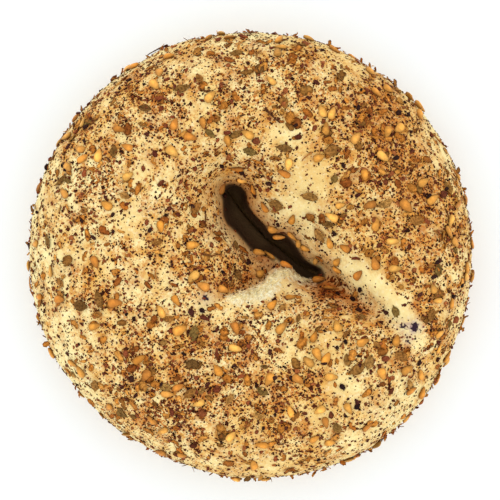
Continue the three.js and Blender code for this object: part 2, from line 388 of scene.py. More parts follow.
def strewn(places):
    """How thickly the topping lies, where 1 is usual."""
    clumps = 1 + 0.1 * random_field(places, 11, 21) + 0.26 * random_field(places, 4.5, 22)
    density = np.clip(clumps, 0.2, None) * (1 + patches(places, THICK_PATCHES))
    density *= np.clip(1 - patches(places, THIN_PATCHES), 0.08, 1)
    bare, _ = beside(BARE_LAP, places)
    density *= 1 - 0.93 * bell(bare, 2.7)
    density *= np.clip(1 - stains(places, 2, 0.9), 0.1, 1)
    density *= (1 - 0.95 * torn_share(places)) * (1 - 0.55 * np.exp(-mouth_distance(places) / 2))
    return density * smoothstep(0.28 * CROWN, 0.8 * CROWN, places[:, 2])


def stained(places):
    """Where oil and spice have browned the dough."""
    blots = smoothstep(-0.3, 2.2, random_field(places, 7, 31) + 0.6 * random_field(places, 3.5, 32))
    dense = np.clip(strewn(places), 0, 2.5)
    browned = 0.6 * blots * dense + 0.3 * smoothstep(1.1, 2.4, dense)
    return np.clip(browned + 0.4 * patches(places, THICK_PATCHES[:BROWNEST]), 0, 1)


# -------- one bit of each kind


def tube_faces(rings, around):
    """Quads between rings of vertices, and a fan at each end."""
    faces = []
    for i in range(rings - 1):
        for j in range(around):
            k = (j + 1) % around
            faces.append((i * around + j, i * around + k, (i + 1) * around + k, (i + 1) * around + j))
    start, end = rings * around, rings * around + 1
    for j in range(around):
        k = (j + 1) % around
        faces.append((start, k, j))
        faces.append((end, (rings - 1) * around + j, (rings - 1) * around + k))
    return faces


def seed_bit(rng):
    """A sesame seed, 1 long: a flattened teardrop, blunt at -X, with a low ridge round its edge."""
    rings, around = 9, 14
    turns = np.linspace(0, math.pi, rings + 2)[1:-1]
    angles = np.arange(around) * math.tau / around
    wide, thick = rng.uniform(0.5, 0.62), rng.uniform(0.25, 0.32)
    points = []
    for turn in turns:
        x = -math.cos(turn)
        radius = math.sin(turn) ** 0.85 * (1 - 0.4 * x)
        for angle in angles:
            y = radius * wide * math.cos(angle)
            z = radius * thick * np.sign(math.sin(angle)) * abs(math.sin(angle)) ** 1.2
            points.append((x, y, z))
    points += [(-1.0, 0, 0), (1.02, 0, 0)]
    points = np.array(points) / 2
    points[:, 2] += 0.05 * rng.uniform(-1, 1) * points[:, 0] ** 2
    points *= 1 + 0.035 * random_field(points, 0.7, rng.integers(1 << 30))[:, None]
    return points, tube_faces(rings, around)


def plate_bit(rng, rows, columns, outline, rise, thickness):
    """A closed thin plate, 1 long. Functions of its two shares give the outline's width and the height."""
    top, edge, faces = [], [], []
    for i in range(rows + 1):
        for j in range(columns + 1):
            u, v = i / rows, 2 * j / columns - 1
            top.append((u - 0.5, v * outline(u) / 2, rise(u, v)))
            edge.append(i in (0, rows) or j in (0, columns))
    top = np.array(top)
    top[:, 2] += 0.045 * random_field(top, 0.45, rng.integers(1 << 30))
    below = top.copy()
    below[:, 2] -= thickness
    inner = np.flatnonzero(~np.array(edge))
    under = np.arange(len(top))
    under[inner] = len(top) + np.arange(len(inner))
    for i in range(rows):
        for j in range(columns):
            a = i * (columns + 1) + j
            corners = (a, a + columns + 1, a + columns + 2, a + 1)
            faces.append(corners)
            faces.append(tuple(int(under[c]) for c in reversed(corners)))
    return np.vstack([top, below[inner]]), faces


def leaf_bit(rng):
    """A dried leaf, 1 long: a crinkled oval folded along its midrib, with a short stalk."""
    wide = rng.uniform(0.42, 0.62)
    curl, fold = rng.uniform(-0.2, 0.5), rng.uniform(0.05, 0.3)

    def outline(u):
        blade = max(0, math.sin(math.pi * min(1, max(0, (u - 0.12) / 0.88)) ** 0.8)) ** 0.75
        return max(0.07 if u < 0.2 else 0.02, wide * blade)

    def rise(u, v):
        return curl * (u - 0.5) ** 2 + fold * abs(v) * wide / 2

    return plate_bit(rng, 10, 6, outline, rise, 0.06)


def husk_bit(rng):
    """A chip of seed coat or bran, 1 long: a thin curved scale with a ragged outline."""
    ragged = rng.uniform(0.7, 1.2, 9)
    wide = rng.uniform(0.5, 0.9)
    curl, cup = rng.uniform(-0.5, 0.7), rng.uniform(-0.2, 0.35)

    def outline(u):
        return max(0.12, wide * ragged[round(8 * u)] * math.sin(math.pi * (0.08 + 0.84 * u)) ** 0.6)

    def rise(u, v):
        return curl * (u - 0.5) ** 2 + cup * v * v * wide / 2

    return plate_bit(rng, 5, 2, outline, rise, 0.07)


def strand(rng, rings, around, bend, uneven, thickness, rise, tips):
    """A closed strand, 1 long, bent sideways. Functions of the share along it give its radius and height."""
    points = []
    for i in range(rings):
        u = i / (rings - 1) - 0.5
        radius = thickness(u) * rng.uniform(*uneven)
        for j in range(around):
            angle = j * math.tau / around
            points.append((u, bend * u * u + radius * math.cos(angle), radius * math.sin(angle) + rise(u)))
    points += [(tip, bend / 4, rise(math.copysign(0.5, tip))) for tip in tips]
    return np.array(points), tube_faces(rings, around)


def stem_bit(rng):
    """A broken twig, 1 long, bent and tapering."""
    bend = rng.uniform(-0.9, 0.9)

    def thickness(u):
        return 0.05 * (1.1 - u)

    return strand(rng, 7, 5, bend, (0.8, 1.2), thickness, lambda u: -0.2 * u * u, (-0.51, 0.51))


def fibre_bit(rng):
    """A strand of torn crumb, 1 long, thickest in its middle, with one end lifted."""
    bend, lift = rng.uniform(-0.5, 0.5), rng.uniform(0, 0.5)

    def thickness(u):
        return 0.11 * (1 - 3.2 * u * u)

    return strand(rng, 5, 4, bend, (0.7, 1.2), thickness, lambda u: lift * (u + 0.5) ** 2, (-0.52, 0.53))


def ball(level):
    mesh = bpy.data.meshes.new("ball")
    work = bmesh.new()
    bmesh.ops.create_icosphere(work, subdivisions=level, radius=0.5)
    work.to_mesh(mesh)
    work.free()
    points = coordinates(mesh)
    faces = [tuple(face.vertices) for face in mesh.polygons]
    bpy.data.meshes.remove(mesh)
    return points, faces


def chip_bit(rng):
    """A crushed flake of spice, 1 long: flat, angular and uneven."""
    points, faces = ball(1)
    points = points * (1, rng.uniform(0.5, 0.95), rng.uniform(0.22, 0.42))
    return points + rng.normal(0, 0.07, points.shape) * (1, 1, 0.5), faces


def grain_bit(rng):
    """A rounder grain, such as a nigella seed, 1 long."""
    points, faces = ball(2)
    points = points * (1, rng.uniform(0.5, 0.75), rng.uniform(0.45, 0.6))
    return points * (1 + 0.1 * random_field(points, 0.6, rng.integers(1 << 30))[:, None]), faces


def speck_bit(rng):
    """A speck of ground spice, 1 long: eight crooked faces."""
    corners = [(1, 0, 0), (0, 1, 0), (-1, 0, 0), (0, -1, 0), (0, 0, 1), (0, 0, -1)]
    points = np.array(corners) * (0.5, 0.32, 0.2) + rng.normal(0, 0.09, (6, 3))
    faces = [(i, (i + 1) % 4, 4) for i in range(4)] + [((i + 1) % 4, i, 5) for i in range(4)]
    return points, faces


# -------- strewing


class Crust:
    """The finished crust's surface, to strew on."""

    def __init__(self, mesh):
        mesh.calc_loop_triangles()
        self.corners = np.empty(len(mesh.loop_triangles) * 3, int)
        mesh.loop_triangles.foreach_get("vertices", self.corners)
        self.corners = self.corners.reshape(-1, 3)
        self.places = placed(mesh)
        self.normals = vectors(mesh.vertex_normals, "vector")
        a, b, c = (self.places[self.corners[:, i]] for i in range(3))
        self.areas = norm(np.cross(b - a, c - a), axis=1) / 2
        self.tree = BVHTree.FromPolygons(self.places.tolist(), self.corners.tolist())

    def spots(self, rng, count):
        """Random spots, even by area, as places and normals."""
        triangle = rng.choice(len(self.areas), count, p=self.areas / self.areas.sum())
        weights = rng.dirichlet((1, 1, 1), count)[..., None]
        corners = self.corners[triangle]
        places = (self.places[corners] * weights).sum(1)
        normals = (self.normals[corners] * weights).sum(1)
        return places, normals / norm(normals, axis=1, keepdims=True)

    def nearest(self, point):
        place, normal, _, _ = self.tree.find_nearest(Vector(point))
        return np.array(place), np.array(normal)

    def under(self, x, y):
        """Straight below a point in the air, or beside it where that is over the slit."""
        place, normal, _, _ = self.tree.ray_cast(Vector((x, y, 2 * CROWN)), Vector((0, 0, -1)))
        if place is None or place.z < EQUATOR:
            return self.nearest((x, y, EQUATOR + 6))
        return np.array(place), np.array(normal)


class Bits:
    """Bits of one kind, gathered and then merged into one mesh with a colour for each."""

    def __init__(self, name, make, variants, seed, edge=0.0, shading=0.8):
        """Edge is how much darker a bit is painted low down, as shade, and how strong its painted highlight
        is; shading is how much it shares in the crust's painted shade.
        """
        self.name = name
        self.rng = np.random.default_rng(seed)
        self.edge = edge
        self.shading = shading
        self.shapes = [make(self.rng) for _ in range(variants)]
        self.laid = [[] for _ in range(variants)]
        self.places = []

    def add(self, place, normal, turn, size, colour, sink, tilt):
        """Lays one bit at a place, turned by radians about the normal from a level direction."""
        normal = normal / norm(normal)
        level = np.cross(normal, (0, 0, 1.0))
        slope = norm(level)
        level = level / slope if slope > 0.05 else np.array([1.0, 0, 0])
        ahead = math.cos(turn) * level + math.sin(turn) * np.cross(normal, level)
        self.lay(place, normal, ahead, size, colour, sink, tilt)

    def lay(self, place, normal, ahead, size, colour, sink, tilt=0.0):
        """Lays one bit with its length along a direction, sunk by a share of its depth below its middle."""
        ahead = ahead - normal * (ahead @ normal)
        ahead /= norm(ahead)
        across = np.cross(normal, ahead)
        leaning = normal * math.cos(tilt) + across * math.sin(tilt)
        across = np.cross(leaning, ahead)
        axes = np.array([ahead, across, leaning])
        which = self.rng.integers(len(self.shapes))
        lowest = self.shapes[which][0][:, 2].min() * size[2]
        centre = place - normal * lowest * (1 - sink)
        self.laid[which].append((centre, axes, size, colour))
        self.places.append(place)

    def merge(self, material):
        """One mesh of every bit laid, riding on the bagel."""
        points, colours, faces, start = [], [], [], 0
        for (shape, corners), laid in zip(self.shapes, self.laid, strict=True):
            if not laid:
                continue
            centres, axes, sizes, tints = (np.array(column) for column in zip(*laid, strict=True))
            spread = np.einsum("nvk,nkj->nvj", shape * sizes[:, None], axes) + centres[:, None]
            points.append(spread.reshape(-1, 3))
            # Painted light on each bit's colour: darker low down as shade, darker in a ring below its top, a
            # painted highlight near its top, and the crust's painted shade where it lies
            height = shape[:, 2] / shape[:, 2].max()
            upper = smoothstep(-0.1, 0.9, height)
            highlight = bell(norm(shape[:, :2] - HIGHLIGHT_SPOT, axis=1), 0.22) * upper
            shade = 1 - self.edge * (1 - upper - 0.55 * highlight + 0.22 * bell(height - 0.74, 0.15))
            tints = tints * (1 - self.shading * shaded(centres)[:, None] * (1 - SHADE))
            colours.append((tints[:, None] * shade[:, None]).reshape(-1, 3))
            for _ in laid:
                faces += [[start + corner for corner in face] for face in corners]
                start += len(shape)
        mesh = bpy.data.meshes.new(self.name)
        mesh.from_pydata(np.vstack(points) * MM + RING_MIDDLE, [], faces, shade_flat=False)
        mesh.update()
        tint = mesh.color_attributes.new("tint", "FLOAT_COLOR", "POINT")
        whole = np.hstack([np.vstack(colours), np.ones((start, 1))])
        tint.data.foreach_set("color", whole.astype(np.float32).ravel())
        mesh.materials.append(material)
        piece = new_object(self.name, mesh)
        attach(piece, "root")
        return piece


def pick_colour(rng, palette, spread=0.12):
    """A colour between two of a palette's, a little lighter or darker."""
    first, second = (linear(*palette[i]) for i in rng.integers(len(palette), size=2))
    share = rng.uniform(0, 1)
    lightness = min(1.6, max(0.5, 1 + spread * rng.normal()))
    return (first * share + second * (1 - share)) * lightness / CROWN_LIGHT


SESAME_COLOURS = [(224, 155, 62), (210, 139, 48), (236, 177, 84), (194, 123, 44), (228, 165, 72)]
LEAF_COLOURS = [(140, 100, 48), (156, 106, 50), (110, 76, 38), (128, 102, 52), (176, 130, 68)]
HUSK_COLOURS = [(210, 137, 54), (182, 108, 38), (224, 158, 72), (156, 86, 32), (196, 124, 47), (142, 96, 42)]
STEM_COLOURS = [(112, 66, 32), (162, 106, 52), (88, 52, 30), (204, 146, 74)]
CHIP_COLOURS = [(138, 72, 40), (110, 54, 32), (160, 94, 50), (88, 42, 28), (128, 68, 40), (74, 38, 30)]
GRAIN_COLOURS = [(46, 26, 22), (62, 36, 28), (36, 20, 20)]
SPECK_COLOURS = [(58, 26, 15), (92, 42, 20), (128, 68, 32), (36, 18, 14), (78, 36, 20)]
CRUMB_COLOURS = [(254, 246, 206), (250, 237, 182), (243, 221, 158)]

# More of the clearer seeds, beside those in the frame: x, y and turn in degrees
MORE_SEEDS = [
    (-31, 10.5, 25), (-45, 0, 25), (-48, -15.5, 15), (-9.5, 38.5, 115), (-20, 51, 35), (-5, 50, 5),
    (-4.5, 28.5, 65), (18.5, 41.5, 75), (23, 40, 75), (7.5, 23.5, 60), (17, 26, 120), (1, 13, 120),
    (12, 15, 145), (12.5, -20, 30), (-16.5, -39.5, 60), (-11.5, -50.5, 165), (8, -39.5, 45),
    (9.5, -47, 175), (26.5, -36.5, 100), (-3, -38, 75), (12, -6, 100), (17.5, -8.5, 95), (30.5, -6.5, 105),
    (34.5, -9, 45), (34.5, 2.5, 70), (16.5, 13, 85), (18, 11.5, 55), (22.5, 14, 85), (49.5, -12, 65),
    (42, -23, 80), (45.5, -21, 25), (47, 5, 65), (50.5, 6.5, 165), (51.5, 2, 45), (54, 3.5, 155),
    (29, -15, 10), (33, -22, 150), (47, 17, 55),
]
# Seeds about the slit: x, y, turn, tilt about the seed's length, and how far it is pushed out over the slit
SLIT_SEEDS = [
    (-0.6, 8.2, 78, 25, 0), (1.5, 8.6, 83, 20, 0.8), (4.2, 10.2, 28, 0, 0), (3.2, 2.3, 163, -25, 0),
    (-17.3, 6.6, 128, 60, 0), (16.4, 6.6, 45, 0, 0), (20, 6.7, 8, 15, 0), (-6, 10.6, 150, 0, 0),
    (6.5, 10, 95, 0, 0), (-14.6, 11.6, 60, 20, 0), (-11, 12, 110, 0, 0), (8.6, 10.2, 70, 10, 0),
    (12.4, 9.8, 120, 15, 0), (1, 1.2, 30, 0, 0),
]
# Seeds that stand out from the rim: bearing in degrees
RIM_SEEDS = [
    166, 168, 185, 88, 84, 57, 226, 249, 277, 308, 317, 338, 340, 346, 356, 8, 13, 37, 118, 142, 205, 262,
]
# More of the clearer leaves: x, y, turn in degrees and length
MORE_LEAVES = [
    (-39, 22.5, 165, 3.2), (-52, -4.5, 75, 3), (9, 15, 175, 4.4), (-6.5, -50.5, 115, 4),
    (38.8, -0.1, 121, 3.8), (37.9, -3, 100, 4.6), (30, 6.5, 45, 3), (-33, -11, 20, 3),
    (20, -30, 100, 3.6), (-20, -34, 150, 5), (-18, -37, 60, 3.4), (28, -28, 40, 3.6),
    (40, 24, 70, 3.2), (36, 28, 130, 3.6), (-44, 8, 30, 3.4), (7.5, -30, 20, 4.4),
]


def level_direction(degrees):
    """The level direction that makes this angle with +X."""
    angle = math.radians(degrees)
    return np.array([math.cos(angle), math.sin(angle), 0.0])


def nodes_named(prefix):
    return sorted(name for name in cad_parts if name.startswith(prefix))


def frame_spots(crust, names):
    """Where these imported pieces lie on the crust, and the direction of their length, blunt end first."""
    for name in names:
        points = placed(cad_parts[name].data)
        middle = points.mean(0)
        _, _, axes = np.linalg.svd(points - middle)
        reach = (points - middle) @ axes[0]
        ahead = axes[0] if reach.max() > -reach.min() else -axes[0]
        yield *crust.nearest(middle), ahead


def thinned(places, gap):
    """Which of these places to keep so that no two kept ones are closer than a gap."""
    kept = []
    for i, place in enumerate(places):
        if all(norm(place - places[k]) > gap for k in kept):
            kept.append(i)
    return kept


def strew(crust, bits, tries, chance, lay, gap=0.0):
    """Tries random spots, keeps each with a chance that grows with the topping, and lays a bit there."""
    rng = bits.rng
    places, normals = crust.spots(rng, tries)
    x, y, z = places.T
    throat = (np.abs(x) < 17) & (np.abs(y - 6) < 4.5) & (z < EQUATOR + 2)
    keep = (rng.uniform(size=tries) < chance * strewn(places)) & (z > 2) & ~throat
    places, normals = places[keep], normals[keep]
    for i in thinned(places, gap) if gap else range(len(places)):
        lay(rng, places[i], normals[i])


def strew_kind(crust, bits, tries, chance, palette, size, sink, lean=0.0):
    """Strews bits turned any way, sunk between two shares of their depth, and leaning by some radians."""

    def lay(rng, place, normal):
        wanted, colour = size(rng), pick_colour(rng, palette)
        turn, sunk = rng.uniform(0, math.tau), rng.uniform(*sink)
        bits.add(place, normal, turn, wanted, colour, sunk, rng.normal(0, lean) if lean else 0.0)

    strew(crust, bits, tries, chance, lay)


def sized(rng, length, width, thickness):
    """A bit's size: its length, and a width and thickness drawn between shares of it."""
    return length * np.array([1, rng.uniform(*width), rng.uniform(*thickness)])


def at_rim(crust, rng, bearing, low, high):
    """A spot on the rim, at a bearing in radians and a random height."""
    outward = np.array([math.cos(bearing), math.sin(bearing), 0])
    return crust.nearest(outward * RIM_REACH + (0, 0, rng.uniform(low, high)))


def stand_at_rim(crust, bits, count, palette, lengths, shape):
    """Stands bits on end round the rim, leaning at random, so that they show against the background."""
    rng = bits.rng
    for bearing in rng.uniform(0, math.tau, count):
        place, normal = at_rim(crust, rng, bearing, 13, 24)
        level = np.cross(normal, rng.normal(size=3))
        level /= norm(level)
        lean = rng.uniform(0.2, 0.85)
        ahead = math.sin(lean) * normal + math.cos(lean) * level
        upright = math.cos(lean) * normal - math.sin(lean) * level
        size = rng.uniform(*lengths) * np.array(shape)
        bits.lay(place + 0.35 * size[0] * ahead, upright, ahead, size, pick_colour(rng, palette), 0.5)


def lay_sesame(crust, material):
    """Seeds of the frame, listed seeds, and strewn ones between them. Returns their places."""
    bits = Bits("sesame_seeds", seed_bit, 10, SEED + 1, edge=0.6, shading=0.35)
    rng = bits.rng

    def size():
        return sized(rng, np.clip(rng.normal(3.35, 0.28), 2.7, 4), (0.92, 1.1), (0.9, 1.1))

    def tint():
        return pick_colour(rng, SESAME_COLOURS)

    names = nodes_named("sesame_seed")
    for place, normal, ahead in frame_spots(crust, names):
        bits.lay(place, normal, ahead, size(), tint(), rng.uniform(0.15, 0.5))
    for x, y, turn in MORE_SEEDS:
        place, normal = crust.under(x, y)
        bits.lay(place, normal, level_direction(turn), size(), tint(), 0.35)
    for x, y, turn, tilt, overhang in SLIT_SEEDS:
        place, normal = crust.under(x, y)
        place = place - (0, overhang, 0)
        colour = tint()
        bits.lay(place, normal, level_direction(turn), size(), colour, 0.25, math.radians(tilt))
    for bearing in RIM_SEEDS:
        place, normal = at_rim(crust, rng, math.radians(bearing + rng.uniform(-1, 1)), 15, 23)
        colour = tint()
        bits.add(place, normal, rng.uniform(0, math.tau), size(), colour, 0.1, rng.uniform(-0.5, 0.5))

    def lay(rng, place, normal):
        if min(norm(place - other) for other in bits.places) > 2.4:
            colour = tint()
            turn = rng.uniform(0, math.tau)
            bits.add(place, normal, turn, size(), colour, rng.uniform(0.1, 0.6), rng.normal(0, 0.25))

    strew(crust, bits, 1500, 0.105, lay, gap=2.2)
    piece = bits.merge(material)
    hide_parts(*names)
    return np.array(bits.places)


def lay_leaves(crust, material, taken):
    """Leaves of the frame, listed leaves, and strewn ones clear of the seeds."""
    bits = Bits("herb_leaves", leaf_bit, 14, SEED + 2, edge=0.2)
    rng = bits.rng

    def size(length):
        return sized(rng, length, (0.85, 1.15), (0.6, 1))

    def tint():
        return pick_colour(rng, LEAF_COLOURS)

    names = nodes_named("herb_leaf")
    for place, normal, ahead in frame_spots(crust, names):
        bits.lay(place, normal, ahead, size(rng.uniform(4, 4.8)), tint(), 0.3)
    for x, y, turn, length in MORE_LEAVES:
        place, normal = crust.under(x, y)
        bits.lay(place, normal, level_direction(turn), size(length), tint(), 0.3)

    def lay(rng, place, normal):
        if norm(taken - place, axis=1).min() > 1.8:
            length, colour = rng.uniform(2.2, 4.2), tint()
            turn = rng.uniform(0, math.tau)
            bits.add(place, normal, turn, size(length), colour, rng.uniform(0.1, 0.5), rng.normal(0, 0.2))

    strew(crust, bits, 900, 0.16, lay, gap=3)
    piece = bits.merge(material)
    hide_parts(*names)


def lay_husks(crust, material):
    def size(rng):
        return sized(rng, min(3.2, rng.gamma(6, 0.29)), (0.7, 1.1), (0.5, 0.9))

    bits = Bits("seed_husks", husk_bit, 24, SEED + 3, edge=0.2)
    strew_kind(crust, bits, 16000, 0.125, HUSK_COLOURS, size, (0.2, 0.8), 0.2)
    stand_at_rim(crust, bits, 120, HUSK_COLOURS, (1.1, 2.2), (1, 0.9, 0.8))
    bits.merge(material)


def lay_stems(crust, material):
    def size(rng):
        length = 1.5 + rng.gamma(2, 0.7)
        return np.array([length, length, min(length, 3.5)])

    bits = Bits("herb_stems", stem_bit, 10, SEED + 4)
    strew_kind(crust, bits, 2500, 0.08, STEM_COLOURS, size, (-0.2, 0.3))
    stand_at_rim(crust, bits, 24, STEM_COLOURS, (1.3, 2.3), (1, 1, 1))
    bits.merge(material)


def lay_chips(crust, material):
    """The frame's dark flakes, and strewn ones."""
    bits = Bits("spice_flakes", chip_bit, 24, SEED + 5)
    names = nodes_named("spice_flake")
    for place, normal, ahead in frame_spots(crust, names):
        colour = pick_colour(bits.rng, CHIP_COLOURS[-3:]) * 0.6
        bits.lay(place, normal, ahead, np.array([2.3, 1.7, 1.8]), colour, 0.3)

    def size(rng):
        return sized(rng, 0.5 + rng.gamma(2.0, 0.24), (0.7, 1.1), (0.7, 1.2))

    strew_kind(crust, bits, 30000, 0.13, CHIP_COLOURS, size, (0.1, 0.6), 0.25)
    stand_at_rim(crust, bits, 110, CHIP_COLOURS, (0.8, 1.6), (1, 0.9, 0.9))
    piece = bits.merge(material)
    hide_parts(*names)


def lay_grains(crust, material):
    def size(rng):
        return rng.uniform(0.8, 1.9) * np.ones(3)

    bits = Bits("black_grains", grain_bit, 8, SEED + 6)
    strew_kind(crust, bits, 3000, 0.06, GRAIN_COLOURS, size, (0.1, 0.4))
    bits.merge(material)


def lay_specks(crust, material):
    def size(rng):
        return sized(rng, 0.36 + rng.gamma(2.0, 0.13), (0.8, 1.4), (0.6, 1.1))

    bits = Bits("spice_specks", speck_bit, 40, SEED + 7)
    strew_kind(crust, bits, 100000, 0.26, SPECK_COLOURS, size, (0.3, 0.7))
    bits.merge(material)


def lay_crumb(crust, material):
    """The torn crumb's strands, pulled out across the torn edge."""
    bits = Bits("torn_crumb", fibre_bit, 12, SEED + 8)
    rng = bits.rng
    line = smooth_route(TORN_EDGE)
    for _ in range(520):
        at = rng.uniform(0, len(line) - 2)
        here, run = line[int(at)], line[int(at) + 1] - line[int(at)]
        along = at / (len(line) - 2)
        across = np.array([-run[1], run[0]]) / norm(run)
        reach = rng.beta(1.1, 2.2) * (1.6 + torn_belly(along)) - 0.3
        x, y = here + across * reach
        place, normal = crust.under(x, y)
        if place[2] < EQUATOR + 1:
            continue
        heading = math.degrees(math.atan2(run[1], run[0])) + rng.normal(0, 30) + 180 * rng.integers(2)
        length = rng.uniform(0.8, 2.4)
        size = np.array([length, rng.uniform(0.7, 1.3), rng.uniform(0.6, 1.1)])
        colour = pick_colour(rng, CRUMB_COLOURS, 0.05)
        bits.lay(place, normal, level_direction(heading), size, colour, 0.6)
    bits.merge(material)


# -------- materials


def fill_ramp(node, stops):
    line = node.color_ramp
    while len(line.elements) < len(stops):
        line.elements.new(0.5)
    for element, (position, colour) in zip(line.elements, stops, strict=True):
        element.position = position
        element.color = colour


class Shader:
    """A material's nodes, written as calls. Patterns are in millimetres."""

    def __init__(self, name):
        self.material = bpy.data.materials.new(name)
        self.material.use_nodes = True
        self.tree = self.material.node_tree
        self.surface = self.tree.nodes["Principled BSDF"]
        place = self.node("TexCoord", {}).outputs["Object"]
        self.millimetres = self.node("VectorMath", {0: place, "Scale": 1 / MM}, operation="SCALE").outputs[0]

    def put(self, node, sockets):
        """Links a node's sockets, or sets those whose value is a number or a colour."""
        for name, value in sockets.items():
            if isinstance(value, bpy.types.NodeSocket):
                self.tree.links.new(value, node.inputs[name])
            else:
                node.inputs[name].default_value = value

    def node(self, kind, sockets, **settings):
        """A new node with these settings and sockets."""
        node = self.tree.nodes.new("ShaderNode" + kind)
        for name, value in settings.items():
            setattr(node, name, value)
        self.put(node, sockets)
        return node

    def painted(self, colour, roughness, specular, **sockets):
        """The material, with its surface's sockets linked or set."""
        named = {"Base Color": colour, "Roughness": roughness, "Specular IOR Level": specular}
        self.put(self.surface, {**named, **sockets})
        return self.material

    def attribute(self, name, output="Fac"):
        return self.node("Attribute", {}, attribute_name=name).outputs[output]

    def noise(self, wavelength, detail=2, roughness=0.5, shift=0.0, stretch=None):
        where = self.millimetres
        if stretch:
            mapping = {"Vector": where, "Scale": stretch, "Location": (shift, 0, 0)}
            where = self.node("Mapping", mapping).outputs["Vector"]
        sockets = {"Vector": where, "W": shift, "Scale": 1 / wavelength}
        sockets.update({"Detail": detail, "Roughness": roughness})
        return self.node("TexNoise", sockets, noise_dimensions="4D").outputs["Fac"]

    def cells(self, size):
        """Random cells: the distance from each one's middle, and its random colour."""
        node = self.node("TexVoronoi", {"Vector": self.millimetres, "Scale": 1 / size})
        return node.outputs["Distance"], node.outputs["Color"]

    def part(self, colour, index):
        return self.node("SeparateColor", {0: colour}).outputs[index]

    def step(self, value, low, high, start=0.0, end=1.0):
        """Rises smoothly from start to end as value goes from low to high."""
        sockets = {"Value": value, "From Min": low, "From Max": high, "To Min": start, "To Max": end}
        return self.node("MapRange", sockets, interpolation_type="SMOOTHSTEP").outputs["Result"]

    def times(self, first, second):
        return self.node("Math", {0: first, 1: second}, operation="MULTIPLY").outputs[0]

    def plus(self, first, second):
        return self.node("Math", {0: first, 1: second}, operation="ADD").outputs[0]

    def mix(self, share, first, second, blend="MIX"):
        sockets = {0: share, 6: first, 7: second}
        return self.node("Mix", sockets, data_type="RGBA", blend_type=blend).outputs[2]

    def ramp(self, value, stops):
        node = self.node("ValToRGB", {0: value})
        fill_ramp(node, stops)
        return node.outputs[0]

    def bump(self, height, depth, **relief):
        """Relief whose height runs from 0 to 1 over a depth in millimetres, on top of any other relief."""
        return self.node("Bump", {"Height": height, "Distance": depth * MM, **relief}).outputs["Normal"]


def plain_dough(s, topping):
    """Cream dough, more golden where it is oiled and, as painted shade, a little toward one side, with pale
    flecks of painted highlight.
    """
    place = s.node("SeparateXYZ", {0: s.millimetres})
    # Painted shade: the dough is a little darker and more golden toward one side, as if lit from the other
    side_shade = s.times(s.plus(place.outputs[0], place.outputs[1]), 0.0015)
    drift = s.plus(side_shade, s.step(s.noise(14, 2, shift=3), 0.3, 0.7, -0.3, 0.3))
    drift = s.plus(drift, s.times(topping, 0.6))
    dough = s.mix(s.step(drift, -0.2, 0.8), rgba(246, 231, 166), rgba(230, 186, 102))
    mottled = s.noise(3.0, 5, 0.65, shift=9)
    oiled = s.times(s.step(mottled, 0.42, 0.66), s.step(topping, 0, 0.5, 0.3, 1))
    dough = s.mix(oiled, dough, rgba(218, 163, 76))
    # Pale flecks of painted highlight
    return s.mix(s.step(s.noise(0.9, 3, 0.6, shift=2), 0.5, 0.72, 0, 0.5), dough, rgba(248, 241, 201))


def spiced(s, dough, topping):
    """Browned blots and smudges, and dots of ground spice in three sizes."""
    blots = s.noise(1.3, 5, 0.7, shift=5)
    stain = s.times(s.attribute("stained"), s.step(blots, 0.36, 0.6, 0.3, 1))
    dough = s.mix(s.times(stain, 0.85), dough, rgba(176, 97, 30))
    smudge = s.times(topping, s.step(s.noise(0.7, 3, 0.65, shift=7), 0.47, 0.6, 0, 1.3))
    dough = s.mix(smudge, dough, rgba(196, 118, 43))
    tones = [(0, rgba(46, 22, 14)), (0.5, rgba(94, 44, 21)), (1, rgba(150, 88, 40))]
    for size, radius, amount in ((1.1, 0.24, 0.6), (0.75, 0.25, 0.85), (0.5, 0.27, 0.85)):
        distance, random = s.cells(size)
        present = s.step(s.plus(s.part(random, 0), s.times(topping, amount)), 0.99, 1.0)
        dot = s.times(present, s.step(distance, radius, radius + 0.07, 1, 0))
        dough = s.mix(dot, dough, s.ramp(s.part(random, 1), tones))
    return dough


def torn_and_inked(s, dough, torn, fibres):
    """White crumb where the dough is torn, and the purple-black stains."""
    crumb = s.ramp(fibres, [(0.35, rgba(238, 210, 150)), (0.6, rgba(254, 249, 214))])
    dough = s.mix(torn, dough, crumb)
    bleeding = s.times(s.attribute("bleeding"), s.step(s.noise(0.9, 3, shift=6), 0.3, 0.6, 0.2, 1))
    dough = s.mix(bleeding, dough, rgba(150, 112, 130))
    inked = s.plus(s.attribute("inked"), s.step(s.noise(0.7, 3, shift=12), 0.3, 0.7, -0.3, 0.3))
    return s.mix(s.step(inked, 0.35, 0.7), dough, rgba(46, 28, 42))


def folded(s, dough):
    """Painted shade in the folds, dark painted shade down the slit's walls, and the baked underside."""
    # Painted shade: the colour is multiplied toward SHADE at the slit's mouth, in the lap's groove and in
    # the dip by the tongue
    shadow = s.mix(s.attribute("shaded"), (1, 1, 1, 1), (*SHADE, 1))
    dough = s.mix(1.0, dough, shadow, "MULTIPLY")
    # Painted shade down the slit: dark brown on its walls, a little lighter where they pinch together low
    # down
    painted_slit_shade = s.mix(s.attribute("pinched"), rgba(80, 57, 37), rgba(116, 90, 58))
    dough = s.mix(s.step(s.attribute("deep"), 0.35, 0.85), dough, painted_slit_shade)
    baked = s.mix(s.step(s.noise(5, 4, 0.6, shift=8), 0.3, 0.7), rgba(228, 172, 90), rgba(190, 122, 54))
    return s.mix(s.attribute("under"), dough, baked)


def crust_material():
    s = Shader("baked_crust")
    topping, torn = s.attribute("strewn"), s.attribute("torn")
    fibres = s.noise(0.6, 3, 0.6, shift=4, stretch=(1.8, 0.6, 1.8))
    dough = spiced(s, plain_dough(s, topping), topping)
    dough = folded(s, torn_and_inked(s, dough, torn, fibres))
    roughness = s.step(s.noise(2, 3, shift=1), 0.3, 0.7, 0.6, 0.8)
    wrinkles = s.bump(s.noise(2.2, 5, 0.6, shift=10), 0.35)
    pores = s.bump(s.noise(0.5, 3, 0.6, shift=11), 0.1, Normal=wrinkles)
    return s.painted(dough, roughness, 0.1, Normal=s.bump(s.times(torn, fibres), 0.5, Normal=pores))


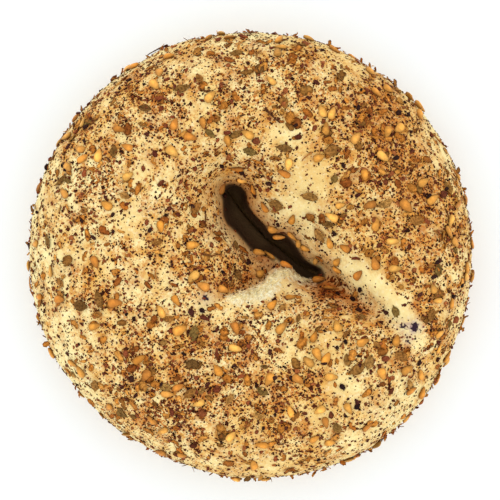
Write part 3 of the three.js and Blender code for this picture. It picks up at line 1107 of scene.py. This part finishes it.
def bit_material(name, wavelength, contrast, depth, roughness, specular, pale):
    """Each bit keeps its own colour, and grain of this wavelength makes it lighter and darker."""
    s = Shader(name)
    tint = s.attribute("tint", "Color")
    grain = s.noise(wavelength, 3, 0.6)
    low = 1 - contrast
    dark = s.mix(1.0, tint, (low, low * 0.95, low * 0.9, 1), "MULTIPLY")
    light = s.mix(1.0, tint, (pale, pale, pale, 1), "MULTIPLY")
    colour = s.mix(s.step(grain, 0.35, 0.65), dark, light)
    return s.painted(colour, roughness, specular, Normal=s.bump(grain, depth))


# -------- the studio


def make_floor():
    s = Shader("pale_floor")
    pale = s.mix(s.noise(300, 2), (0.86, 0.905, 0.96, 1), (0.87, 0.915, 0.97, 1))
    mesh = bpy.data.meshes.new("floor")
    corners = [(x * FLOOR_HALF, y * FLOOR_HALF, 0) for x, y in ((-1, -1), (1, -1), (1, 1), (-1, 1))]
    mesh.from_pydata(corners, [], [(0, 1, 2, 3)])
    mesh.materials.append(s.painted(pale, 0.9, 0.0))
    floor = new_object("floor", mesh)
    floor.location.z = -FLOOR_GAP * MM
    floor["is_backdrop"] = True


def light_dome():
    """A white dome with a brighter disc straight overhead."""
    world = bpy.data.worlds.new("studio")
    bpy.context.scene.world = world
    world.use_nodes = True
    tree = world.node_tree
    coordinate = tree.nodes.new("ShaderNodeTexCoord")
    split = tree.nodes.new("ShaderNodeSeparateXYZ")
    ramp = tree.nodes.new("ShaderNodeValToRGB")
    tree.links.new(coordinate.outputs["Generated"], split.inputs[0])
    tree.links.new(split.outputs["Z"], ramp.inputs[0])
    disc = LIGHT_LEVEL * OVERHEAD_SHARE / (1 - OVERHEAD_COSINE**2)
    rest = LIGHT_LEVEL * (1 - OVERHEAD_SHARE) / OVERHEAD_COSINE**2
    grey = (rest / disc, rest / disc, rest / disc, 1)
    inner, outer = OVERHEAD_COSINE + OVERHEAD_SOFTNESS, OVERHEAD_COSINE - OVERHEAD_SOFTNESS
    fill_ramp(ramp, [(outer, grey), (inner, (1, 1, 1, 1))])
    background = tree.nodes["Background"]
    tree.links.new(ramp.outputs[0], background.inputs["Color"])
    background.inputs["Strength"].default_value = disc


def make_camera():
    data = bpy.data.cameras.new("camera")
    camera = new_object("camera", data)
    x, y = np.array(VIEW_TARGET) * MM + RING_MIDDLE[:2]
    camera.location = (x, y, CAMERA_HEIGHT)
    back = Vector((0, 0, 1))
    right = VIEW_UP.cross(back).normalized()
    up = back.cross(right)
    camera.rotation_euler = Matrix((right, up, back)).transposed().to_euler()
    distance = CAMERA_HEIGHT - EQUATOR * MM
    data.angle = 2 * math.atan(FIELD * MM / 2 / distance)
    data.clip_end = 10
    bpy.context.scene.camera = camera


make_camera()
light_dome()
make_floor()
bpy.context.scene.view_settings.view_transform = "Standard"

ring = remeshed_ring()
sculpt_crust(ring.data)
mark_crust(ring.data)
ring.data.polygons.foreach_set("use_smooth", np.ones(len(ring.data.polygons), bool))
ring.data.materials.clear()
ring.data.materials.append(crust_material())
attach(ring, "root")
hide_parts("bagel_ring")

crust = Crust(ring.data)
seed_coat = bit_material("sesame_coat", 0.9, 0.16, 0.08, 0.5, 0.18, 1.1)
herb = bit_material("dried_herb", 0.5, 0.45, 0.2, 0.8, 0.05, 1.35)
husk = bit_material("husk", 0.6, 0.35, 0.12, 0.7, 0.08, 1.3)
spice = bit_material("crushed_spice", 0.4, 0.35, 0.12, 0.75, 0.05, 1.35)
crumb = bit_material("crumb_strands", 0.4, 0.1, 0.05, 0.9, 0.0, 1.05)
seeds_at = lay_sesame(crust, seed_coat)
lay_leaves(crust, herb, seeds_at)
lay_husks(crust, husk)
lay_stems(crust, herb)
lay_chips(crust, spice)
lay_grains(crust, spice)
lay_specks(crust, spice)
lay_crumb(crust, crumb)

visual_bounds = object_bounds()
[[list(corner) for corner in box] for box in (cad_bounds, visual_bounds)]
